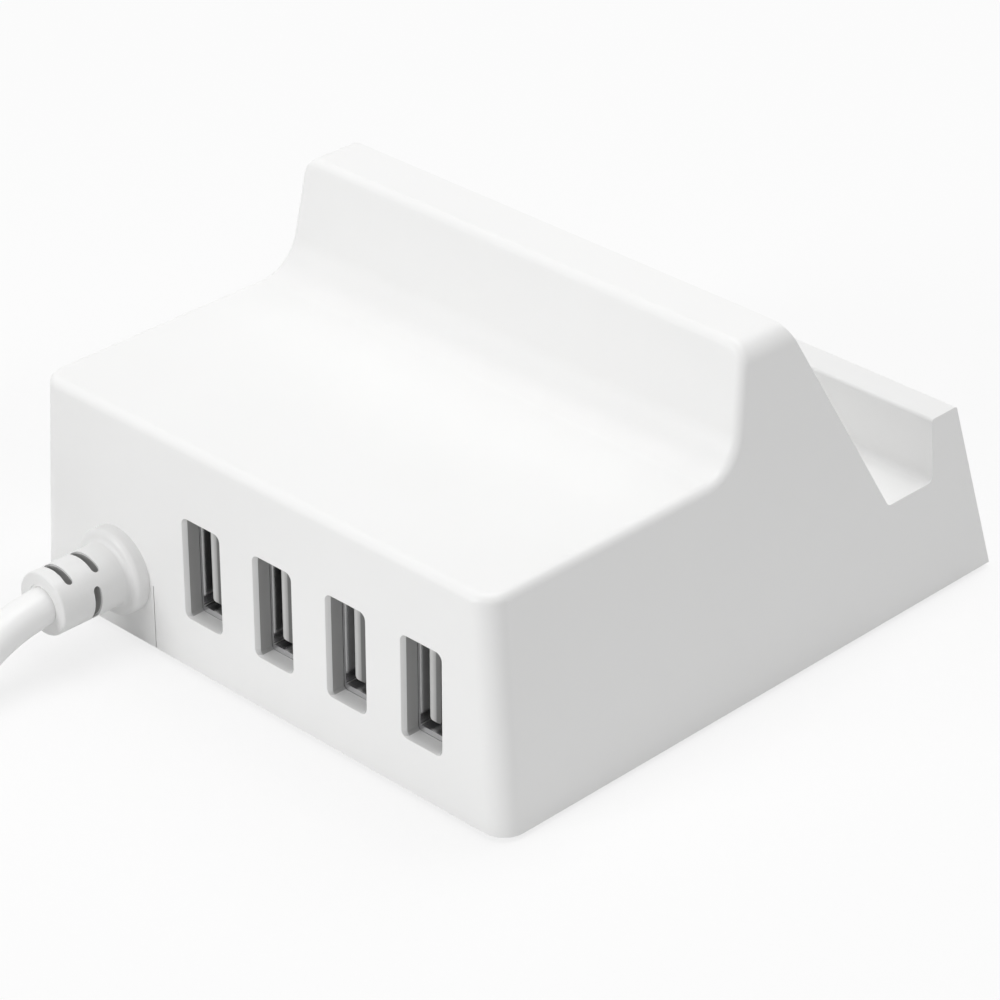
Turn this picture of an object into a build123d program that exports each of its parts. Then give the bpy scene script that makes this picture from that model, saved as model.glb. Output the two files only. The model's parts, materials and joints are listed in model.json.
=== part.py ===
from build123d import *
import os
from math import cos, degrees, radians, sin, sqrt, tan

os.makedirs("parts", exist_ok=True)

# Desktop USB charger with a tablet groove. Origin at the middle of the footprint, on the table, +Z up.
# The port face looks along -Y and the user sits on the +Y side. Heights run from the housing's bottom
# rim and depths from the port face, unless a name says otherwise. Millimetres and degrees.

# Housing profile
base_length = 83.5
end_draft = 4.65
deck_height = 31.5
deck_depth = 41.7
ridge_height = 47.0
ridge_lean = 8.6
ridge_top_width = 7.7
rest_recline = 30.0
groove_floor = 16.0
groove_width = 8.7
lip_rise = 8.6
lip_width = 4.9
lip_lean = 14.6
wall = 2.3
port_corner_radius = 3.2
deck_fillet = 5.5
ridge_end_radius = 3.0
soft_edge_radius = 1.3
groove_radius = 0.9
lip_radius = 0.5

# Base cover, feet and screws
foot_stand = 0.6
foot_radius = 4.0
foot_pocket = 1.0
foot_gap = 0.1
cover_thickness = 2.4
cover_gap = 0.15
screw_inset = 7.3
screw_front_depth = 9.5
screw_back_inset = 16.15
cup_radius = 3.9
cup_height = 5.6
boss_radius = 3.0
screw_head_radius = 2.6
screw_head_height = 1.8
screw_head_gap = 0.3
screw_head_cover = 2.4
screw_shank_radius = 1.2
screw_shank_length = 8.0
screw_pilot_gap = 0.05
screw_pilot_spare = 1.0
screw_hole_gap = 0.4
screw_slot_width = 0.9
screw_slot_depth = 0.8

# USB type A sockets, standing on edge
port_count = 4
port_gland_gap = 15.84
port_boss_gap = 0.35
port_height = 14.3
shell_width = 5.72
shell_tall = 13.1
shell_length = 14.0
shell_sheet = 0.3
shell_corner = 0.6
shell_setback = 0.05
shell_rim_width = 6.9
shell_rim_tall = 14.8
shell_rim_corner = 1.0
shell_rim = 0.35
window_width = 5.88
window_tall = 14.0
window_corner = 0.6
mouth_width = 6.88
mouth_tall = 14.2
mouth_corner = 1.0
mouth_depth = 0.5
bezel_width = 7.0
bezel_tall = 14.4
bezel_corner = 1.1
tongue_thickness = 1.84
tongue_tall = 11.1
tongue_side_gap = 0.7
tongue_setback = 0.9
insulator_block = 4.0
contact_tall = 1.0
contact_thickness = 0.25
contact_setback = 1.0
contact_outer_spread = 3.5
contact_inner_spread = 1.0

# Cord gland
gland_inset = 16.05
gland_height = 9.0
gland_flange_radius = 5.85
gland_flange = 2.0
gland_neck_radius = 4.5
gland_neck_gap = 0.05
gland_collar = 2.0
gland_barrel_radius = 4.25
gland_length = 12.4
gland_edge = 0.8
gland_mouth_edge = 0.3
gland_root = 0.5
gland_bore_gap = 0.1
slot_width = 1.1
slot_length = 4.8
slot_floor = 2.2
slot_turn = 9.0
top_slot_depths = (5.9, 10.1)
side_slot_depths = (6.9,)
notch_half_width = 6.55

# Main board
board_thickness = 1.6
board_side_gap = 1.0
board_front_gap = 0.5
board_back_gap = 0.8
board_boss_gap = 0.5
peg_side_inset = 4.0
peg_front_depth = 25.5
peg_back_inset = 6.2
peg_radius = 1.0
peg_rise = 0.8
peg_gap = 0.05
standoff_radius = 2.2

# Mains cord, its coil and its plug
cord_radius = 2.5
cord_seat = 5.2
cord_straight = 12.0
cord_step = 9.6
cord_sag = 4.6
cord_lift = 0.05
coil_middle_radius = 27.5
coil_turns_wide = 4
coil_turns_high = 2
coil_gap = 0.1
loop_inset = 2.5
loop_shift_x = 5.0
loop_shift_y = -8.0
loop_start = 3.0
loop_turn = 36.0
tie_width = 8.0
tie_thickness = 0.8
tie_angle = 135.0
plug_thickness = 13.7
plug_width = 35.0
plug_tail_width = 17.0
plug_length = 34.0
plug_tail = 9.0
plug_advance = 10.0
plug_edge = 2.0
plug_tail_gap = 1.2
plug_lead = 9.0
pin_radius = 2.0
pin_core_radius = 1.5
pin_length = 19.0
pin_sleeve = 10.0
pin_spread = 19.0

# Components on the board
part_gap = 1.0
part_edge_gap = 1.2
output_can_radius = 4.0
output_can_height = 12.0
output_can_pitch = 9.0
transformer_gap = 2.0
transformer_headroom = 2.45
core_length = 26.0
core_width = 25.0
core_thickness = 7.0
core_window_length = 18.0
core_window_width = 5.6
bobbin_wall = 1.0
bobbin_flange_gap = 0.2
winding_inset = 0.5
winding_corner = 2.0
bulk_radius = 6.5
bulk_pitch = 14.0
bulk_headroom = 1.45
can_crimp = 0.93
fuse_radius = 2.6
fuse_height = 8.0
fuse_depth = 20.5
line_capacitor_size = (12.0, 6.0, 11.0)
bridging_capacitor_size = (8.0, 3.2, 9.0)
bridge_size = (3.6, 12.0, 11.0)
optocoupler_size = (4.6, 6.5, 3.5)
chip_size = (4.0, 5.0, 1.5)
film_corner = 0.6
dipped_corner = 1.2
package_corner = 0.3
choke_radius = 5.6
choke_hole = 2.8
choke_core_height = 5.0
choke_wire = 0.5
choke_arc = 110.0
sink_thickness = 1.6
sink_height = 14.0
sink_length = 20.0
package_width = 10.0
package_thickness = 4.4
package_height = 13.0
port_chip_depth = 8.0
lead_radius = 0.9
lead_spread = 1.6
lead_run = 9.0
lead_bend = 2.5

# Lines worked out from the profile
ridge_back = deck_depth + (ridge_height - deck_height) * tan(radians(ridge_lean))
ridge_front = ridge_back + ridge_top_width
rest_foot = ridge_front + (ridge_height - groove_floor) * tan(radians(rest_recline))
lip_inner = rest_foot + groove_width
lip_outer = lip_inner + lip_width
lip_top = groove_floor + lip_rise
body_depth = lip_outer + lip_top * tan(radians(lip_lean))
port_y = -body_depth / 2
rim_z = foot_stand
port_plane = Plane((0, port_y, rim_z), x_dir=(1, 0, 0), z_dir=(0, -1, 0))


def at(depth, height):
    """Point of the YZ profile, from its depth and its height."""
    return (port_y + depth, rim_z + height)


def level(height):
    """Horizontal plane at a height."""
    return Plane.XY.offset(rim_z + height)


def end_x(height, inset=0.0):
    """Half the housing's length at a height, less an inset square to the end face."""
    return base_length / 2 - height * tan(radians(end_draft)) - inset / cos(radians(end_draft))


def ridge_back_inside(height):
    """Depth of the inner side of the ridge's back wall."""
    return deck_depth + (height - deck_height) * tan(radians(ridge_lean)) + wall / cos(radians(ridge_lean))


def rest_inside(height):
    """Depth of the inner side of the backrest."""
    rise = (ridge_height - height) * tan(radians(rest_recline))
    return ridge_front + rise - wall / cos(radians(rest_recline))


def lip_inside(height):
    """Depth of the inner side of the wall below the lip."""
    run = (lip_top - height) * tan(radians(lip_lean))
    return lip_outer + run - wall / cos(radians(lip_lean))


def write(builder, name):
    """Label a finished piece and write its STEP file."""
    builder.part.label = name
    export_step(builder.part, f"parts/{name}.step")


# Places that several pieces share
screw_x = base_length / 2 - screw_inset
screw_back_depth = body_depth - screw_back_inset
screw_spots = [
    (side * screw_x, port_y + depth)
    for depth in (screw_front_depth, screw_back_depth)
    for side in (-1, 1)
]
gland_x = gland_inset - base_length / 2
first_port_x = gland_x + port_gland_gap
last_port_x = screw_x - boss_radius - port_boss_gap - shell_width / 2
port_pitch = (last_port_x - first_port_x) / (port_count - 1)
port_xs = [first_port_x + port_pitch * n for n in range(port_count)]
shell_front = wall + shell_setback
board_top = port_height - shell_tall / 2
board_bottom = board_top - board_thickness
board_half = end_x(board_top, wall) - board_side_gap
board_front = wall + board_front_gap
board_back = screw_back_depth - boss_radius - board_boss_gap - board_back_gap
peg_x = board_half - peg_side_inset
peg_back_depth = board_back - peg_back_inset
peg_spots = [
    (side * peg_x, port_y + depth)
    for depth in (peg_front_depth, peg_back_depth)
    for side in (-1, 1)
]
head_seat = cup_height - screw_head_cover
pilot_depth = screw_shank_length - screw_head_cover + screw_pilot_spare
cover_half = end_x(cover_thickness, wall) - cover_gap
cover_front = wall + cover_gap
cover_back = lip_inside(cover_thickness) - cover_gap

# Hollow of the housing
below_rim = -5.0
with BuildPart() as hollow:
    with BuildSketch(Plane.YZ):
        with BuildLine():
            Polyline(
                at(wall, below_rim),
                at(wall, deck_height - wall),
                at(ridge_back_inside(deck_height - wall), deck_height - wall),
                at(ridge_back_inside(ridge_height - wall), ridge_height - wall),
                at(rest_inside(ridge_height - wall), ridge_height - wall),
                at(rest_inside(groove_floor - wall), groove_floor - wall),
                at(lip_inside(groove_floor - wall), groove_floor - wall),
                at(lip_inside(below_rim), below_rim),
                close=True,
            )
        make_face()
    extrude(amount=base_length, both=True)
    with BuildSketch(Plane.XZ):
        with BuildLine():
            Polyline(
                (-end_x(below_rim, wall), rim_z + below_rim),
                (end_x(below_rim, wall), rim_z + below_rim),
                (end_x(ridge_height, wall), rim_z + ridge_height),
                (-end_x(ridge_height, wall), rim_z + ridge_height),
                close=True,
            )
        make_face()
    extrude(amount=body_depth, both=True, mode=Mode.INTERSECT)

# Upper housing: deck, ridge, groove and lip in one moulding
with BuildPart() as upper_housing:
    with BuildSketch(Plane.YZ):
        with BuildLine():
            Polyline(
                at(0, 0),
                at(0, deck_height),
                at(deck_depth, deck_height),
                at(ridge_back, ridge_height),
                at(ridge_front, ridge_height),
                at(rest_foot, groove_floor),
                at(lip_inner, groove_floor),
                at(lip_inner, lip_top),
                at(lip_outer, lip_top),
                at(body_depth, 0),
                close=True,
            )
        make_face()
        fillet(vertices().sort_by_distance(at(deck_depth, deck_height))[0], radius=deck_fillet)
        fillet(vertices().sort_by_distance(at(rest_foot, groove_floor))[0], radius=groove_radius)
        fillet(vertices().sort_by_distance(at(lip_inner, groove_floor))[0], radius=groove_radius)
        fillet(vertices().sort_by_distance(at(lip_inner, lip_top))[0], radius=lip_radius)
        fillet(vertices().sort_by_distance(at(lip_outer, lip_top))[0], radius=lip_radius)
    extrude(amount=base_length, both=True)
    with BuildSketch(Plane.XZ):
        with BuildLine():
            Polyline(
                (-end_x(0), rim_z),
                (end_x(0), rim_z),
                (end_x(ridge_height), rim_z + ridge_height),
                (-end_x(ridge_height), rim_z + ridge_height),
                close=True,
            )
        make_face()
    extrude(amount=body_depth, both=True, mode=Mode.INTERSECT)
    # Upright corners beside the ports, the ridge's top ends, then one soft edge round the deck and ridge
    corner_edges = faces().sort_by(Axis.Y)[0].edges().sort_by(Axis.X)
    fillet([corner_edges[0], corner_edges[-1]], radius=port_corner_radius)
    ridge_edges = faces().sort_by(Axis.Z)[-1].edges().sort_by(Axis.X)
    fillet([ridge_edges[0], ridge_edges[-1]], radius=ridge_end_radius)
    fillet(faces().sort_by(Axis.Y)[0].edges().sort_by(Axis.Z)[-1], radius=soft_edge_radius)
    add(hollow.part, mode=Mode.SUBTRACT)
    # Screw bosses hang from the deck and from under the groove
    with BuildSketch(level(cup_height)):
        with Locations(*screw_spots[:2]):
            Circle(boss_radius)
    extrude(amount=deck_height - wall / 2 - cup_height)
    with BuildSketch(level(cup_height)):
        with Locations(*screw_spots[2:]):
            Circle(boss_radius)
    extrude(amount=groove_floor - wall / 2 - cup_height)
    with BuildSketch(level(cup_height)):
        with Locations(*screw_spots):
            Circle(screw_shank_radius + screw_pilot_gap)
    extrude(amount=pilot_depth, mode=Mode.SUBTRACT)
    # Windows for the bezels round the sockets
    with BuildSketch(port_plane):
        with Locations(*[(x, port_height) for x in port_xs]):
            RectangleRounded(bezel_width, bezel_tall, bezel_corner)
    extrude(amount=-wall, mode=Mode.SUBTRACT)
    # Round hole for the gland, opened downwards by the notch that the base cover's tab fills
    with BuildSketch(port_plane):
        with Locations((gland_x, gland_height)):
            Circle(gland_neck_radius + gland_neck_gap)
            Rectangle(2 * notch_half_width, 2 * gland_height, align=(Align.CENTER, Align.MAX))
    extrude(amount=-wall, mode=Mode.SUBTRACT)
write(upper_housing, "upper_housing")

# Base cover: plate, screw cups, board standoffs and the tab under the gland
with BuildPart() as base_cover:
    with BuildSketch(level(0)):
        with Locations((0, port_y + (cover_front + cover_back) / 2)):
            Rectangle(2 * cover_half, cover_back - cover_front)
        with Locations((gland_x, port_y)):
            Rectangle(
                2 * (notch_half_width - cover_gap),
                2 * cover_front,
                align=(Align.CENTER, Align.MIN),
            )
    extrude(amount=cover_thickness)
    with BuildSketch(level(0)):
        with Locations(*screw_spots):
            Circle(cup_radius)
    extrude(amount=cup_height)
    with BuildSketch(level(0)):
        with Locations(*peg_spots):
            Circle(standoff_radius)
    extrude(amount=board_bottom)
    with BuildSketch(level(0)):
        with Locations(*peg_spots):
            Circle(peg_radius)
    extrude(amount=board_top + peg_rise)
    with BuildSketch(port_plane):
        with Locations((gland_x, 0)):
            Rectangle(
                2 * (notch_half_width - cover_gap),
                gland_height,
                align=(Align.CENTER, Align.MIN),
            )
        with Locations((gland_x, gland_height)):
            Circle(gland_neck_radius + gland_neck_gap, mode=Mode.SUBTRACT)
    extrude(amount=-wall)
    with BuildSketch(level(0)):
        with Locations(*screw_spots):
            Circle(foot_radius + foot_gap)
    extrude(amount=foot_pocket, mode=Mode.SUBTRACT)
    with BuildSketch(level(0)):
        with Locations(*screw_spots):
            Circle(screw_head_radius + screw_head_gap)
    extrude(amount=head_seat, mode=Mode.SUBTRACT)
    with BuildSketch(level(0)):
        with Locations(*screw_spots):
            Circle(screw_shank_radius + screw_hole_gap)
    extrude(amount=cup_height, mode=Mode.SUBTRACT)
write(base_cover, "base_cover")

# Rubber feet fill the pockets and stand proud of the rim
for number, spot in enumerate(screw_spots, start=1):
    with BuildPart() as rubber_foot:
        with BuildSketch(Plane.XY):
            with Locations(spot):
                Circle(foot_radius)
        extrude(amount=foot_stand + foot_pocket)
        chamfer(faces().sort_by(Axis.Z)[0].edges(), length=foot_stand / 2)
    write(rubber_foot, f"rubber_foot_{number}")

# Case screws, pan heads up inside the cups
with BuildPart() as case_screws:
    with BuildSketch(level(head_seat)):
        with Locations(*screw_spots):
            Circle(screw_head_radius)
    extrude(amount=-screw_head_height)
    fillet(faces().group_by(Axis.Z)[0].edges(), radius=screw_head_height / 3)
    with BuildSketch(level(head_seat)):
        with Locations(*screw_spots):
            Circle(screw_shank_radius)
    extrude(amount=screw_shank_length)
    with BuildSketch(level(head_seat - screw_head_height)):
        with Locations(*screw_spots):
            Rectangle(screw_head_radius, screw_slot_width)
            Rectangle(screw_slot_width, screw_head_radius)
    extrude(amount=screw_slot_depth, mode=Mode.SUBTRACT)
write(case_screws, "case_screws")

# Main board, cut back at the gland and round the screw bosses
gland_room = wall + gland_collar + board_front_gap
with BuildPart() as main_board:
    with BuildSketch(level(board_bottom)):
        with Locations((0, port_y + board_front)):
            Rectangle(2 * board_half, board_back - board_front, align=(Align.CENTER, Align.MIN))
        with Locations((gland_x, port_y)):
            Rectangle(
                2 * (gland_flange_radius + board_side_gap),
                2 * gland_room,
                mode=Mode.SUBTRACT,
            )
        with Locations(*screw_spots):
            Circle(boss_radius + board_boss_gap, mode=Mode.SUBTRACT)
        with Locations(*peg_spots):
            Circle(peg_radius + peg_gap, mode=Mode.SUBTRACT)
    extrude(amount=board_thickness)
write(main_board, "main_board")

# USB sockets: a bezel in the wall, a folded shell with its rim, an insulator and four contacts
shell_inner_width = shell_width - 2 * shell_sheet
shell_inner_tall = shell_tall - 2 * shell_sheet
shell_back = shell_front + shell_length
block_front = shell_back - insulator_block
tongue_front = shell_front + tongue_setback
shell_plane = port_plane.offset(-shell_front)
for number, x in enumerate(port_xs, start=1):
    tongue_left = x - shell_inner_width / 2 + tongue_side_gap
    with BuildPart() as port_bezel:
        with BuildSketch(port_plane):
            with Locations((x, port_height)):
                RectangleRounded(bezel_width, bezel_tall, bezel_corner)
                RectangleRounded(window_width, window_tall, window_corner, mode=Mode.SUBTRACT)
        extrude(amount=-wall)
        with BuildSketch(port_plane):
            with Locations((x, port_height)):
                RectangleRounded(mouth_width, mouth_tall, mouth_corner)
        with BuildSketch(port_plane.offset(-mouth_depth)):
            with Locations((x, port_height)):
                RectangleRounded(window_width, window_tall, window_corner)
        loft(mode=Mode.SUBTRACT)
    write(port_bezel, f"port_bezel_{number}")

    with BuildPart() as usb_shell:
        with BuildSketch(shell_plane):
            with Locations((x, port_height)):
                RectangleRounded(shell_width, shell_tall, shell_corner)
                RectangleRounded(
                    shell_inner_width,
                    shell_inner_tall,
                    shell_corner - shell_sheet,
                    mode=Mode.SUBTRACT,
                )
        extrude(amount=-shell_length)
        with BuildSketch(shell_plane):
            with Locations((x, port_height)):
                RectangleRounded(shell_rim_width, shell_rim_tall, shell_rim_corner)
                RectangleRounded(shell_width, shell_tall, shell_corner, mode=Mode.SUBTRACT)
        extrude(amount=-shell_rim)
    write(usb_shell, f"usb_shell_{number}")

    with BuildPart() as usb_insulator:
        with BuildSketch(port_plane.offset(-block_front)):
            with Locations((x, port_height)):
                RectangleRounded(shell_inner_width, shell_inner_tall, shell_corner - shell_sheet)
        extrude(amount=-insulator_block)
        with BuildSketch(port_plane.offset(-tongue_front)):
            with Locations((tongue_left, port_height)):
                RectangleRounded(
                    tongue_thickness,
                    tongue_tall,
                    tongue_thickness / 4,
                    align=(Align.MIN, Align.CENTER),
                )
        extrude(amount=tongue_front - block_front)
    write(usb_insulator, f"usb_insulator_{number}")

    with BuildPart() as usb_contacts:
        with BuildSketch(port_plane.offset(-tongue_front - contact_setback)):
            for spread in (contact_outer_spread, contact_inner_spread):
                with Locations(
                    (tongue_left + tongue_thickness, port_height - spread),
                    (tongue_left + tongue_thickness, port_height + spread),
                ):
                    Rectangle(contact_thickness, contact_tall, align=(Align.MIN, Align.CENTER))
        extrude(amount=tongue_front + contact_setback - block_front)
    write(usb_contacts, f"usb_contacts_{number}")


# Transformer: ferrite core, bobbin round its middle leg, and the winding
bulk_height = deck_height - wall - board_top - bulk_headroom
bobbin_flange_height = deck_height - wall - board_top - transformer_headroom
choke_outer = choke_radius + choke_wire
choke_x = part_edge_gap + choke_outer - board_half
bulk_x = choke_x + choke_outer + part_gap + bulk_radius
transformer_x = bulk_x + bulk_radius + part_gap + core_length / 2
output_can_depth = shell_back + part_gap + output_can_radius
transformer_depth = output_can_depth + output_can_radius + transformer_gap + core_width / 2
core_middle = board_top + bobbin_flange_height / 2
core_leg = core_width / 2 - core_window_width
core_window_offset = core_leg / 2 + core_window_width / 2
bobbin_outer = core_leg + 2 * bobbin_wall
bobbin_flange_width = core_leg + 2 * core_window_width - 2 * bobbin_flange_gap
transformer_spot = (transformer_x, port_y + transformer_depth)
leg_plane = Plane(
    (transformer_x - core_window_length / 2, port_y + transformer_depth, rim_z + core_middle),
    x_dir=(0, 1, 0),
    z_dir=(1, 0, 0),
)
with BuildPart() as transformer_core:
    with BuildSketch(level(core_middle - core_thickness / 2)):
        with Locations(transformer_spot):
            Rectangle(core_length, core_width)
        for side in (-1, 1):
            with Locations((transformer_x, port_y + transformer_depth + side * core_window_offset)):
                Rectangle(core_window_length, core_window_width, mode=Mode.SUBTRACT)
    extrude(amount=core_thickness)
write(transformer_core, "transformer_core")

with BuildPart() as transformer_bobbin:
    with BuildSketch(leg_plane):
        Rectangle(bobbin_outer, core_thickness + 2 * bobbin_wall)
    extrude(amount=core_window_length)
    for start in (0, core_window_length - bobbin_wall):
        with BuildSketch(leg_plane.offset(start)):
            Rectangle(bobbin_flange_width, bobbin_flange_height)
        extrude(amount=bobbin_wall)
    with BuildSketch(leg_plane):
        Rectangle(core_leg, core_thickness)
    extrude(amount=core_window_length, mode=Mode.SUBTRACT)
write(transformer_bobbin, "transformer_bobbin")

with BuildPart() as transformer_winding:
    with BuildSketch(leg_plane.offset(bobbin_wall)):
        RectangleRounded(
            bobbin_flange_width - 2 * winding_inset,
            bobbin_flange_height - 2 * bobbin_wall,
            winding_corner,
        )
        Rectangle(bobbin_outer, core_thickness + 2 * bobbin_wall, mode=Mode.SUBTRACT)
    extrude(amount=core_window_length - 2 * bobbin_wall)
write(transformer_winding, "transformer_winding")


def upright_can(name, x, depth, radius, height):
    """Electrolytic capacitor standing on the board, with a rounded top and a crimp groove."""
    groove_height = height / 8
    with BuildPart() as can:
        with BuildSketch(level(board_top)):
            with Locations((x, port_y + depth)):
                Circle(radius)
        extrude(amount=height)
        fillet(faces().sort_by(Axis.Z)[-1].edges(), radius=radius / 8)
        with BuildSketch(level(board_top + groove_height)):
            with Locations((x, port_y + depth)):
                Circle(radius)
                Circle(radius * can_crimp, mode=Mode.SUBTRACT)
        extrude(amount=groove_height / 2, mode=Mode.SUBTRACT)
    write(can, name)


def board_block(name, x, depth, size, corner):
    """Box-shaped component standing on the board, with rounded upright edges."""
    width, length, height = size
    with BuildPart() as block:
        with BuildSketch(level(board_top)):
            with Locations((x, port_y + depth)):
                RectangleRounded(width, length, corner)
        extrude(amount=height)
    write(block, name)


# Mains side of the board
bulk_depth = transformer_depth - bulk_pitch / 2
for number in (1, 2):
    depth = bulk_depth + bulk_pitch * (number - 1)
    upright_can(f"bulk_capacitor_{number}", bulk_x, depth, bulk_radius, bulk_height)

with BuildPart() as mains_fuse:
    with BuildSketch(level(board_top)):
        with Locations((part_edge_gap + fuse_radius - board_half, port_y + fuse_depth)):
            Circle(fuse_radius)
    extrude(amount=fuse_height)
    fillet(faces().sort_by(Axis.Z)[-1].edges(), radius=fuse_radius / 4)
write(mains_fuse, "mains_fuse")

board_block(
    "line_capacitor",
    bulk_x,
    shell_back + part_gap + line_capacitor_size[1] / 2,
    line_capacitor_size,
    film_corner,
)
board_block(
    "bridge_rectifier",
    part_edge_gap + bridge_size[0] / 2 - board_half,
    bulk_depth + choke_outer + 2 * part_gap + bridge_size[1] / 2,
    bridge_size,
    package_corner,
)

choke_depth = bulk_depth
choke_spot = (choke_x, port_y + choke_depth)
choke_lift = board_top + choke_wire
with BuildPart() as choke_core:
    with BuildSketch(level(choke_lift)):
        with Locations(choke_spot):
            Circle(choke_radius)
            Circle(choke_hole, mode=Mode.SUBTRACT)
    extrude(amount=choke_core_height)
write(choke_core, "choke_core")

# Each winding wraps a sector of the ring
with BuildPart() as choke_windings:
    for side in (-1, 1):
        with BuildSketch(Plane((*choke_spot, rim_z + choke_lift), x_dir=(0, side, 0), z_dir=(side, 0, 0))):
            with Locations(((choke_radius + choke_hole) / 2, choke_core_height / 2)):
                Rectangle(choke_radius - choke_hole + 2 * choke_wire, choke_core_height + 2 * choke_wire)
                Rectangle(choke_radius - choke_hole, choke_core_height, mode=Mode.SUBTRACT)
        revolve(axis=Axis((*choke_spot, 0), (0, 0, 1)), revolution_arc=choke_arc)
write(choke_windings, "choke_windings")

# Switching transistor and output rectifier, each flat against its own heatsink plate
package_back = rest_inside(board_top + package_height) - part_gap
switch_depth = package_back - package_thickness - sink_thickness / 2
board_block(
    "switch_heatsink",
    transformer_x,
    switch_depth,
    (sink_length, sink_thickness, sink_height),
    package_corner,
)
board_block(
    "switch_transistor",
    transformer_x,
    package_back - package_thickness / 2,
    (package_width, package_thickness, package_height),
    package_corner,
)
board_block(
    "bridging_capacitor",
    transformer_x + sink_length / 2 + part_gap + bridging_capacitor_size[0] / 2,
    switch_depth,
    bridging_capacitor_size,
    dipped_corner,
)
rectifier_x = board_half - part_edge_gap - sink_thickness / 2
board_block(
    "output_heatsink",
    rectifier_x,
    transformer_depth,
    (sink_thickness, sink_length, sink_height),
    package_corner,
)
board_block(
    "output_rectifier",
    rectifier_x - (sink_thickness + package_thickness) / 2,
    transformer_depth,
    (package_thickness, package_width, package_height),
    package_corner,
)

# Output side of the board
for number in (1, 2, 3):
    x = transformer_x + output_can_pitch * (number - 2)
    upright_can(f"output_capacitor_{number}", x, output_can_depth, output_can_radius, output_can_height)

control_depth = board_back - part_edge_gap - optocoupler_size[1] / 2
control_gap = package_width / 2 + part_gap
board_block(
    "optocoupler",
    transformer_x + control_gap + optocoupler_size[0] / 2,
    control_depth,
    optocoupler_size,
    package_corner,
)
board_block(
    "power_controller",
    transformer_x - control_gap - chip_size[0] / 2,
    control_depth,
    chip_size,
    package_corner,
)
for number, left in ((1, port_xs[0]), (2, port_xs[2])):
    chip_x = left + port_pitch / 2
    board_block(f"port_controller_{number}", chip_x, port_chip_depth, chip_size, package_corner)

# Leads from the gland's inner end down onto the board
lead_start = wall + gland_collar
for name, side in (("live_lead", -1), ("neutral_lead", 1)):
    lead_x = gland_x + side * lead_spread
    with BuildPart() as lead:
        with BuildLine() as lead_path:
            FilletPolyline(
                (lead_x, port_y + lead_start, rim_z + gland_height + lead_spread),
                (lead_x, port_y + lead_start + lead_run, rim_z + gland_height + lead_spread),
                (lead_x, port_y + lead_start + lead_run, rim_z + board_top),
                radius=lead_bend,
            )
        with BuildSketch(Plane(lead_path.vertices().sort_by(Axis.Y)[0].center(), z_dir=(0, 1, 0))):
            Circle(lead_radius)
        sweep(path=lead_path.wires()[0])
    write(lead, name)

# Cord gland: collar inside the wall, neck in the hole, flange outside, and a slotted barrel
gland_z = rim_z + gland_height
gland_plane = Plane((gland_x, port_y, gland_z), x_dir=(0, -1, 0), z_dir=(1, 0, 0))
bore_radius = cord_radius + gland_bore_gap
slot_reach = gland_barrel_radius + gland_bore_gap - slot_floor
with BuildPart() as cord_gland:
    with BuildSketch(gland_plane):
        with BuildLine():
            Polyline(
                (-wall - gland_collar, 0),
                (-wall - gland_collar, gland_flange_radius),
                (-wall, gland_flange_radius),
                (-wall, gland_neck_radius),
                (0, gland_neck_radius),
                (0, gland_flange_radius),
                (gland_flange, gland_flange_radius),
                (gland_flange, gland_barrel_radius),
                (gland_length, gland_barrel_radius),
                (gland_length, bore_radius),
                (cord_seat, bore_radius),
                (cord_seat, 0),
                close=True,
            )
        make_face()
        fillet(vertices().sort_by_distance((gland_flange, gland_flange_radius))[0], radius=gland_edge)
        fillet(vertices().sort_by_distance((gland_flange, gland_barrel_radius))[0], radius=gland_root)
        fillet(vertices().sort_by_distance((gland_length, gland_barrel_radius))[0], radius=gland_mouth_edge)
    revolve(axis=Axis((gland_x, port_y, gland_z), (0, -1, 0)))
    for turn, depths in ((slot_turn, top_slot_depths), (slot_turn + 90, side_slot_depths)):
        for angle in (turn, turn + 180):
            across = sin(radians(angle))
            up = cos(radians(angle))
            slot_middle = (gland_x + slot_floor * across, port_y, gland_z + slot_floor * up)
            with BuildSketch(Plane(slot_middle, x_dir=(up, 0, -across), z_dir=(across, 0, up))):
                with Locations(*[(0, -depth) for depth in depths]):
                    SlotOverall(slot_length, slot_width)
            extrude(amount=slot_reach, mode=Mode.SUBTRACT)
write(cord_gland, "cord_gland")

# Mains cord from the gland down to the table, where its coil begins
cord_bend = cord_seat + cord_straight
cord_points = [
    (gland_x, port_y - cord_seat, gland_z),
    (gland_x, port_y - cord_bend, gland_z),
    (gland_x, port_y - cord_bend - cord_step, gland_z - cord_sag),
    (gland_x, port_y - cord_bend - 2 * cord_step, cord_radius + cord_lift),
]

# Part of a straight run that the arc at either end may take up
arc_share = 0.45


def arc_radii(points):
    """Largest radius that each corner of a route allows."""
    radii = []
    for before, corner, after in zip(points, points[1:], points[2:]):
        arriving = Vector(*corner) - Vector(*before)
        leaving = Vector(*after) - Vector(*corner)
        half_turn = radians(arriving.get_angle(leaving) / 2)
        radii.append(arc_share * min(arriving.length, leaving.length) / tan(half_turn))
    return radii


def cord_tube(name, points):
    """Round tube along a route of straight runs and tangent arcs."""
    with BuildPart() as tube:
        with BuildLine() as path:
            FilletPolyline(*points, radius=arc_radii(points))
        with BuildSketch(Plane(points[0], z_dir=Vector(*points[1]) - Vector(*points[0]))):
            Circle(cord_radius)
        sweep(path=path.wires()[0])
    write(tube, name)


cord_tube("mains_cord", cord_points)

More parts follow.
